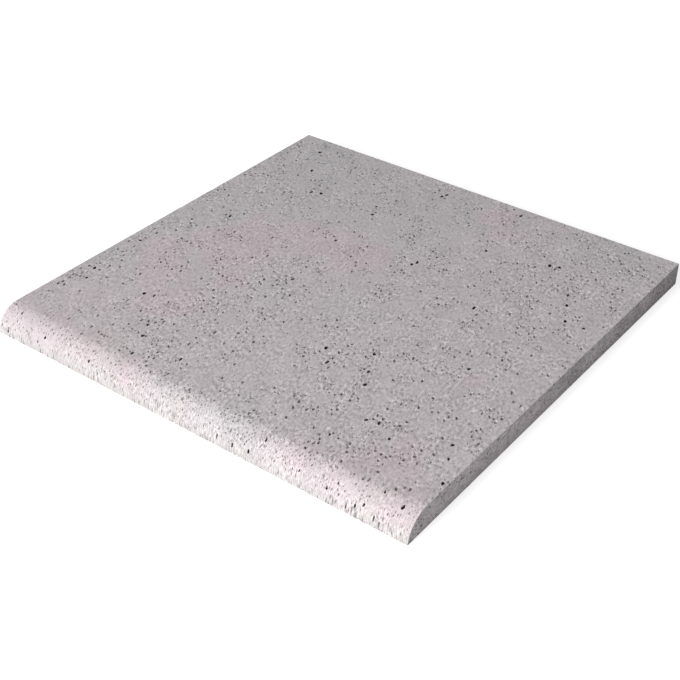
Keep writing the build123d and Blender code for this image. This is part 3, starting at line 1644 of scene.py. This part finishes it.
def stone_clouds_group():
    """The stone's wide soft clouds of colour: grey, greenish grey, cream and mauve."""
    group, given, result = new_group(
        "Stone clouds",
        [("Place", PLACE, None), ("Stone", COLOUR, (0.4, 0.4, 0.4, 1)),
         ("Cool", COLOUR, (0.4, 0.4, 0.4, 1)), ("Cream", COLOUR, (0.45, 0.44, 0.4, 1)),
         ("Mauve", COLOUR, (0.5, 0.4, 0.45, 1)), ("Cool Patch", NUMBER, 0.0),
         ("Cream Patch", NUMBER, 0.0), ("Mauve Patch", NUMBER, 0.0), ("Swing", NUMBER, 0.06)],
        [("Color", COLOUR)],
    )
    wide = centred(group, noise_of(group, given["Place"], WIDE_COLOURS, 3.0, 0.6))
    patchy = centred(group, noise_of(group, given["Place"], PATCHY_COLOURS, 3.0, 0.6))
    light = centred(group, noise_of(group, given["Place"], LIGHT_CLOUDS, 4.0, 0.6))
    kinds = (("Cool", wide, COOL_RAGGED), ("Cream", patchy, CREAM_RAGGED), ("Mauve", patchy, MAUVE_RAGGED))
    stone = given["Stone"]
    for name, ripple, ragged in kinds:
        edge = math_node(group, "ADD", given[name + " Patch"], product(group, ripple, ragged))
        stone = mixed(group, ranged(group, edge, *PATCH_EDGE), stone, given[name])
    tone = math_node(group, "ADD", product(group, light, given["Swing"]), 1.0)
    group.links.new(scaled_colour(group, stone, tone), result["Color"])
    return group


ROUGHER_INSIDE = 0.1


def pit_shade_group():
    """Paints shade inside pits and pores, darkening a colour towards near black, and roughens it there."""
    group, given, result = new_group(
        "Pit shade",
        [("Color", COLOUR, (0.4, 0.4, 0.4, 1)), ("Shade Colour", COLOUR, (0.02, 0.02, 0.02, 1)),
         ("Shade", NUMBER, 0.0), ("Roughness", NUMBER, 0.8)],
        [("Color", COLOUR), ("Roughness", NUMBER)],
    )
    group.links.new(mixed(group, given["Shade"], given["Color"], given["Shade Colour"]), result["Color"])
    rougher = product(group, given["Shade"], ROUGHER_INSIDE)
    rough = math_node(group, "ADD", given["Roughness"], rougher, clamp=True)
    group.links.new(rough, result["Roughness"])
    return group


WEAR_PATCHES = 180.0
WEAR_EDGE = (0.35, 0.65)


def arris_wear_group():
    """Pales a colour where an arris is worn."""
    group, given, result = new_group(
        "Arris wear",
        [("Color", COLOUR, (0.4, 0.4, 0.4, 1)), ("Place", PLACE, None), ("Wear", NUMBER, 0.0),
         ("Paleness", NUMBER, 0.12)],
        [("Color", COLOUR)],
    )
    patchy = ranged(group, noise_of(group, given["Place"], WEAR_PATCHES), *WEAR_EDGE)
    share = product(group, given["Wear"], patchy, given["Paleness"])
    group.links.new(mixed(group, share, given["Color"], WHITE), result["Color"])
    return group


def finish_groups():
    """Every shared group, built once."""
    return {
        "grain": mineral_grain_group(),
        "pores": open_pores_group(),
        "clouds": stone_clouds_group(),
        "hollow": pit_shade_group(),
        "wear": arris_wear_group(),
    }


def fill_group(tree, group, inputs):
    """Place a shared group in a material, with its inputs linked or filled."""
    return add_node(tree, "ShaderNodeGroup", inputs, node_tree=group).outputs


SHINE = 0.2


def new_material(name):
    """An empty material with a matte stone shader."""
    material = bpy.data.materials.new(name)
    material.use_nodes = True
    tree = material.node_tree
    shader = next(n for n in tree.nodes if n.type == "BSDF_PRINCIPLED")
    shader.inputs["Specular IOR Level"].default_value = SHINE
    return material, tree, shader


def opaque(colour):
    """A colour with full alpha."""
    return (*colour, 1.0)


def tinted(colour, tint, plain):
    """A colour changed in the way that a plain one is changed into its tint."""
    return [part * to / start for part, to, start in zip(colour, tint, plain)]


def finish_shader(tree, shader, finish, height, strength, distance):
    """Give a material's shader its colour, roughness and fine relief."""
    bump = add_node(tree, "ShaderNodeBump", {"Height": height, "Strength": strength, "Distance": distance})
    tree.links.new(finish["Color"], shader.inputs["Base Color"])
    tree.links.new(finish["Roughness"], shader.inputs["Roughness"])
    tree.links.new(bump.outputs["Normal"], shader.inputs["Normal"])


# The pitted stone's finish: how far its clouds swing, its roughness, how many small
# and tiny pores there are to a metre, how dark the painted shade of the tiny ones is
# beside the small and of both beside a pit, how deep grain and pores are in the relief,
# how strong and deep the relief is, how pale a worn arris is, and how many swings the
# grain's contrast has to a metre

FACE_SWING = 0.35
FACE_ROUGHNESS = 0.82
SMALL_PORES = 280.0
TINY_PORES = 470.0
TINY_DARKNESS = 0.7
PORE_DARKNESS = 0.62
GRAIN_RELIEF = 1.6
PORE_RELIEF = 0.5
FACE_RELIEF = 0.35
FACE_RELIEF_DEPTH = 0.25 * MM
FACE_PALENESS = 0.1
UNEVEN_GRAIN = 55.0

# Each range here is two values of what it reads, and what it makes of them. First
# come those of the grain, then those of the pores, then those of the sawn faces.

CONTRAST_BY_LIVELINESS = (0.35, 1.5, 0.185, 0.37)
CONTRAST_BY_SLOPE = (0.15, 0.6, 1.0, 1.27)
CONTRAST_AT_FOOT = (0.84, 0.94, 1.0, 0.8)
CONTRAST_BY_CROWD = (0, 1, 0.86, 1.14)
CONTRAST_BY_MAUVE = (0.3, 1.0, 1.0, 0.92)
CONTRAST_BY_CHANCE = (0.3, 0.7, 0.4, 1.55)
FINENESS_BY_SLOPE = (0.1, 0.6, 0.3, 0.95)
SPECKS_BY_SLOPE = (0.2, 0.8, 0.2, 0.25)
TONE_BY_SLOPE = (0.3, 0.9, 1.0, 1.02)

CROWD_WITH_PORES = (0.15, 0.9)
PORES_BY_SLOPE = (0.4, 0.8, 0.0, 0.25)
RARITY_BY_SLOPE = (0.35, 0.75, 2.0, 1.85)
SMALL_BY_CROWD = (0, 1, 0.2, 0.46)
TINY_BY_CROWD = (0, 1, 0.3, 0.52)

SAWN_CONTRAST_BY_DEPTH = (-0.1, 0.2, 0.44, 0.66)
SMUDGE_TONE = (0.3, 0.7, 0.84, 1.16)
# Painted shade on the sawn faces: darker towards the floor, a little lighter above
FLOOR_SHADE_BY_HEIGHT = (-0.95 * THICKNESS, -0.55 * THICKNESS, 0.85, 1.03)
# Painted light on the sawn faces: lighter towards the front and darker towards the back, as the lamps'
# light falls off
LIGHT_FALLOFF_BY_DEPTH = (-0.04, 0.24, 1.07, 0.895)


def grain_contrast(tree, uneven):
    """How strong the grain is: more where the stone is lively, crowded or on the slope."""
    slope = stored(tree, "nose_slope")
    return product(
        tree,
        ranged(tree, stored(tree, "liveliness"), *CONTRAST_BY_LIVELINESS, smooth=False),
        ranged(tree, slope, *CONTRAST_BY_SLOPE),
        ranged(tree, slope, *CONTRAST_AT_FOOT),
        ranged(tree, stored(tree, "crowding"), *CONTRAST_BY_CROWD, smooth=False),
        ranged(tree, stored(tree, "mauve_patch"), *CONTRAST_BY_MAUVE),
        ranged(tree, uneven, *CONTRAST_BY_CHANCE, smooth=False),
    )


def face_pores(tree, groups, place, uneven):
    """A mask of the small and the tiny pores, which are largest where the pits crowd."""
    slope = stored(tree, "nose_slope")
    crowd = math_node(tree, "ADD", stored(tree, "crowding"), centred(tree, uneven))
    crowd = math_node(tree, "MAXIMUM", ranged(tree, crowd, *CROWD_WITH_PORES),
                      ranged(tree, slope, *PORES_BY_SLOPE))
    small = fill_group(tree, groups["pores"], {
        "Place": place, "Pores": SMALL_PORES, "Rarity": ranged(tree, slope, *RARITY_BY_SLOPE),
        "Largest": ranged(tree, crowd, *SMALL_BY_CROWD, smooth=False)})
    tiny = fill_group(tree, groups["pores"], {
        "Place": place, "Pores": TINY_PORES,
        "Largest": ranged(tree, crowd, *TINY_BY_CROWD, smooth=False)})
    return math_node(tree, "MAXIMUM", small["Mask"], product(tree, tiny["Mask"], TINY_DARKNESS))


def face_clouds(tree, groups, place, stone):
    """The walking face's clouds of colour."""
    return fill_group(tree, groups["clouds"], {
        "Place": place, "Stone": opaque(stone.body_colour), "Cool": opaque(stone.cool_colour),
        "Cream": opaque(stone.cream_colour), "Mauve": opaque(stone.mauve_colour),
        "Cool Patch": stored(tree, "cool_patch"), "Cream Patch": stored(tree, "cream_patch"),
        "Mauve Patch": stored(tree, "mauve_patch"), "Swing": FACE_SWING})


def pitted_material(groups, stone):
    """The brushed walking face and nose: clouds, grain, and open pores and pits with painted shade in
    them.
    """
    material, tree, shader = new_material("Pitted stone")
    place = stored(tree, "grain_place", "Vector")
    slope = stored(tree, "nose_slope")
    clouds = face_clouds(tree, groups, place, stone)
    uneven = noise_of(tree, place, UNEVEN_GRAIN)
    contrast = grain_contrast(tree, uneven)
    grain = fill_group(tree, groups["grain"], {
        "Place": place, "Grains": 1 / stone.grain_size, "Contrast": contrast,
        "Fineness": ranged(tree, slope, *FINENESS_BY_SLOPE),
        "Specks": ranged(tree, slope, *SPECKS_BY_SLOPE)})
    tone = product(tree, grain["Tone"], ranged(tree, slope, *TONE_BY_SLOPE))
    wear = fill_group(tree, groups["wear"], {
        "Color": scaled_colour(tree, clouds["Color"], tone), "Place": place,
        "Wear": stored(tree, "arris_wear"), "Paleness": FACE_PALENESS})
    pores = face_pores(tree, groups, place, uneven)
    # The painted shade of the pits and of the pores
    dark = math_node(tree, "MAXIMUM", stored(tree, "pit_shade"), product(tree, pores, PORE_DARKNESS))
    finish = fill_group(tree, groups["hollow"], {
        "Color": wear["Color"], "Shade Colour": opaque(stone.pit_shade_colour), "Shade": dark,
        "Roughness": FACE_ROUGHNESS})
    rough = product(tree, grain["Height"], product(tree, contrast, GRAIN_RELIEF))
    height = math_node(tree, "SUBTRACT", rough, product(tree, pores, PORE_RELIEF))
    finish_shader(tree, shader, finish, height, FACE_RELIEF, FACE_RELIEF_DEPTH)
    return material


# The sawn stone's finish: how strong its cool and mauve patches are and how far its
# clouds swing, how much finer its grain is, how the saw's smudges are drawn out
# along X and Z and how many there are to a metre, its pores and the painted shade in
# them, its roughness, how deep smudges and grain are beside a pore, how strong and
# deep its relief is, and how pale a worn arris is

SAWN_PATCH = 0.45
SAWN_SWING = 0.8
SAWN_GRAINS = 1.3
SAWN_FINENESS = 0.75
SMUDGE_X = 0.35
SMUDGE_Z = 0.25
SMUDGES = 75.0
SAWN_PORES = 360.0
LARGEST_SAWN_PORE = 0.48
SAWN_PORE_DARKNESS = 0.92
SAWN_ROUGHNESS = 0.7
SAWN_ROUGH_SHARE = 0.5
SAWN_RELIEF = 0.25
SAWN_RELIEF_DEPTH = 0.15 * MM
SAWN_PALENESS = 0.08


def saw_smudges(tree, parts):
    """The saw's faint smudges, as a tone near 1."""
    place = add_node(tree, "ShaderNodeCombineXYZ", {
        "X": product(tree, parts["X"], SMUDGE_X), "Y": parts["Y"],
        "Z": product(tree, parts["Z"], SMUDGE_Z)}).outputs[0]
    return ranged(tree, noise_of(tree, place, SMUDGES, 4.0, 0.65), *SMUDGE_TONE)


def sawn_clouds(tree, groups, place, stone):
    """The sawn faces' clouds of colour, tinted as the walking face's are."""
    cool = tinted(stone.sawn_colour, stone.cool_colour, stone.body_colour)
    mauve = tinted(stone.sawn_colour, stone.mauve_colour, stone.body_colour)
    return fill_group(tree, groups["clouds"], {
        "Place": place, "Stone": opaque(stone.sawn_colour), "Cool": opaque(cool),
        "Cream": opaque(stone.sawn_colour), "Mauve": opaque(mauve), "Cool Patch": SAWN_PATCH,
        "Mauve Patch": SAWN_PATCH, "Swing": SAWN_SWING})


def sawn_material(groups, stone):
    """The sawn ends, back and underside: smoother and darker, with faint saw smudges, painted shade in
    pits and pores, painted shade towards the floor and painted light falling off towards the back.
    """
    material, tree, shader = new_material("Sawn stone")
    place = stored(tree, "grain_place", "Vector")
    parts = add_node(tree, "ShaderNodeSeparateXYZ", {"Vector": place}).outputs
    clouds = sawn_clouds(tree, groups, place, stone)
    grain = fill_group(tree, groups["grain"], {
        "Place": place, "Grains": SAWN_GRAINS / stone.grain_size, "Fineness": SAWN_FINENESS,
        "Contrast": ranged(tree, parts["Y"], *SAWN_CONTRAST_BY_DEPTH)})
    smudge = saw_smudges(tree, parts)
    # Painted shade towards the floor, and painted light that falls off towards the back
    painted_floor_shade = ranged(tree, parts["Z"], *FLOOR_SHADE_BY_HEIGHT)
    painted_light_falloff = ranged(tree, parts["Y"], *LIGHT_FALLOFF_BY_DEPTH)
    tone = product(tree, grain["Tone"], smudge, painted_floor_shade, painted_light_falloff)
    wear = fill_group(tree, groups["wear"], {
        "Color": scaled_colour(tree, clouds["Color"], tone), "Place": place,
        "Wear": stored(tree, "arris_wear"), "Paleness": SAWN_PALENESS})
    pores = fill_group(tree, groups["pores"], {
        "Place": place, "Pores": SAWN_PORES, "Largest": LARGEST_SAWN_PORE})["Mask"]
    # The painted shade of the pits and of the pores
    dark = math_node(tree, "MAXIMUM", stored(tree, "pit_shade"), product(tree, pores, SAWN_PORE_DARKNESS))
    finish = fill_group(tree, groups["hollow"], {
        "Color": wear["Color"], "Shade Colour": opaque(stone.pit_shade_colour), "Shade": dark,
        "Roughness": SAWN_ROUGHNESS})
    rough = product(tree, math_node(tree, "ADD", smudge, grain["Height"]), SAWN_ROUGH_SHARE)
    height = math_node(tree, "SUBTRACT", rough, pores)
    finish_shader(tree, shader, finish, height, SAWN_RELIEF, SAWN_RELIEF_DEPTH)
    return material


# The stage: the floor, the camera, the sky and two lamps

FLOOR_DROP = 0.2 * MM
FLOOR_SIZE = 30.0
SENSOR_WIDTH = 36.0
NEAREST_SEEN = 0.01

# Where each lamp stands, and how wide it is

KEY_PLACE = (-0.84, -5.4, 3.05)
KEY_SIZE = 1.9
FILL_PLACE = (1.6, -1.8, 0.27)
FILL_SIZE = 0.5

# The floor's own glow is dimmer round the tile, so that its shadow shows: how far
# out it changes, and from how much to how much. Then the floor's colour as it is
# seen, and as it sends light back up.

GLOW_ROUND_TILE = (0.5, 1.5, 0.72, 1.0)
FLOOR_GREY = (0.5, 0.5, 0.5, 1)
DIM_GREY = (0.35, 0.35, 0.35, 1)


def aimed(place, target):
    """A lamp's matrix: at a place, shining at a target."""
    away = Vector(place) - Vector(target)
    return Matrix.Translation(place) @ away.to_track_quat("Z", "Y").to_matrix().to_4x4()


def add_lamp(name, place, target, size, power):
    """A square soft lamp."""
    lamp = bpy.data.lights.new(name, "AREA")
    lamp.shape = "SQUARE"
    lamp.size = size
    lamp.energy = power
    made = bpy.data.objects.new(name, lamp)
    made.matrix_world = aimed(place, target)
    bpy.context.scene.collection.objects.link(made)


def camera_turn(stage):
    """The camera's turn, from its azimuth, elevation and roll."""
    azimuth, elevation, roll = stage.azimuth, stage.elevation, stage.roll
    ahead = Vector((-sin(azimuth) * cos(elevation), cos(azimuth) * cos(elevation), -sin(elevation)))
    level = Vector((cos(azimuth), sin(azimuth), 0))
    upright = level.cross(ahead)
    right = level * cos(roll) + upright * sin(roll)
    up = upright * cos(roll) - level * sin(roll)
    return Matrix((right, up, -ahead)).transposed().to_4x4()


def add_camera(stage):
    """The camera, at the photograph's angle."""
    camera = bpy.data.cameras.new("Camera")
    camera.lens = stage.lens
    camera.sensor_width = SENSOR_WIDTH
    camera.clip_start = NEAREST_SEEN
    made = bpy.data.objects.new("Camera", camera)
    made.matrix_world = Matrix.Translation(Vector(stage.camera_place)) @ camera_turn(stage)
    bpy.context.scene.collection.objects.link(made)
    bpy.context.scene.camera = made


def seen_directly(tree):
    """1 where the camera sees a thing itself, in a mirror or through glass."""
    path = add_node(tree, "ShaderNodeLightPath").outputs
    either = math_node(tree, "MAXIMUM", path["Is Camera Ray"], path["Is Glossy Ray"])
    return math_node(tree, "MAXIMUM", either, path["Is Transmission Ray"])


def seen_or_lighting(tree, seen, lighting):
    """One shader where a thing is seen, and another where it only sends light on."""
    inputs = {0: seen_directly(tree), 1: lighting.outputs[0], 2: seen.outputs[0]}
    return add_node(tree, "ShaderNodeMixShader", inputs).outputs[0]


def floor_material():
    """A white floor that keeps a soft shadow, and sends only a little light back up."""
    material = bpy.data.materials.new("Floor")
    material.use_nodes = True
    tree = material.node_tree
    tree.nodes.clear()
    place = add_node(tree, "ShaderNodeNewGeometry").outputs["Position"]
    away = add_node(tree, "ShaderNodeVectorMath", {0: place}, operation="LENGTH").outputs["Value"]
    glow = add_node(tree, "ShaderNodeEmission", {"Strength": ranged(tree, away, *GLOW_ROUND_TILE)})
    lit = add_node(tree, "ShaderNodeBsdfDiffuse", {"Color": FLOOR_GREY})
    dim = add_node(tree, "ShaderNodeBsdfDiffuse", {"Color": DIM_GREY})
    white = add_node(tree, "ShaderNodeAddShader", {0: glow.outputs[0], 1: lit.outputs[0]})
    add_node(tree, "ShaderNodeOutputMaterial", {"Surface": seen_or_lighting(tree, white, dim)})
    return material


def add_floor():
    """The floor, just under the tile."""
    half = FLOOR_SIZE / 2
    height = LOW.z - FLOOR_DROP
    corners = [(-half, -half, height), (half, -half, height), (half, half, height), (-half, half, height)]
    plane = bpy.data.meshes.new("Floor")
    plane.from_pydata(corners, [], [(0, 1, 2, 3)])
    plane.materials.append(floor_material())
    floor = bpy.data.objects.new("Floor", plane)
    bpy.context.scene.collection.objects.link(floor)


def light_world(sky):
    """An even sky that the camera sees as white."""
    world = bpy.data.worlds.new("Sky")
    bpy.context.scene.world = world
    world.use_nodes = True
    tree = world.node_tree
    tree.nodes.clear()
    white = add_node(tree, "ShaderNodeBackground", {"Color": WHITE, "Strength": 1.0})
    even = add_node(tree, "ShaderNodeBackground", {"Color": WHITE, "Strength": sky})
    add_node(tree, "ShaderNodeOutputWorld", {"Surface": seen_or_lighting(tree, white, even)})


# Operators and panel


class COPING_OT_tile(bpy.types.Operator):
    """Make the pitted stone tile in place of its plain solid"""

    bl_idname = "coping.tile"
    bl_label = "Make the pitted tile"

    def execute(self, context):
        piece = pitted_tile(context.scene.coping_pits, context.scene.coping_edges)
        groups = finish_groups()
        stone = context.scene.coping_stone
        piece.data.materials.append(pitted_material(groups, stone))
        piece.data.materials.append(sawn_material(groups, stone))
        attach(piece, BODY)
        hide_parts(NODE)
        return {"FINISHED"}


class COPING_OT_stage(bpy.types.Operator):
    """Add the camera, the lamps and the white floor"""

    bl_idname = "coping.stage"
    bl_label = "Set the stage"

    def execute(self, context):
        stage = context.scene.coping_stage
        middle = (LOW + HIGH) / 2
        add_camera(stage)
        add_floor()
        light_world(stage.sky)
        add_lamp("Key", KEY_PLACE, middle, KEY_SIZE, stage.key_power)
        add_lamp("Fill", FILL_PLACE, middle, FILL_SIZE, stage.fill_power)
        context.scene.view_settings.view_transform = "Standard"
        return {"FINISHED"}


class COPING_PT_panel(bpy.types.Panel):
    """Lists the operators and their settings"""

    bl_idname = "COPING_PT_panel"
    bl_label = "Pool coping tile"
    bl_space_type = "VIEW_3D"
    bl_region_type = "UI"
    bl_category = "Coping"

    def draw(self, context):
        scene = context.scene
        groups = (scene.coping_pits, scene.coping_edges, scene.coping_stone, scene.coping_stage)
        for settings in groups:
            box = self.layout.box()
            for name in settings.__annotations__:
                box.prop(settings, name)
        self.layout.operator(COPING_OT_tile.bl_idname)
        self.layout.operator(COPING_OT_stage.bl_idname)


CLASSES = (PitSettings, EdgeSettings, StoneSettings, StageSettings, COPING_OT_tile, COPING_OT_stage,
           COPING_PT_panel)


def register():
    """Register the classes and give the scene their settings."""
    for made in CLASSES:
        bpy.utils.register_class(made)
    bpy.types.Scene.coping_pits = PointerProperty(type=PitSettings)
    bpy.types.Scene.coping_edges = PointerProperty(type=EdgeSettings)
    bpy.types.Scene.coping_stone = PointerProperty(type=StoneSettings)
    bpy.types.Scene.coping_stage = PointerProperty(type=StageSettings)


def unregister():
    """Take the settings and the classes away again."""
    for name in ("coping_pits", "coping_edges", "coping_stone", "coping_stage"):
        delattr(bpy.types.Scene, name)
    for made in reversed(CLASSES):
        bpy.utils.unregister_class(made)


def main():
    """Make the tile and its stage."""
    register()
    bpy.ops.coping.tile()
    bpy.ops.coping.stage()


if __name__ == "__main__":
    main()
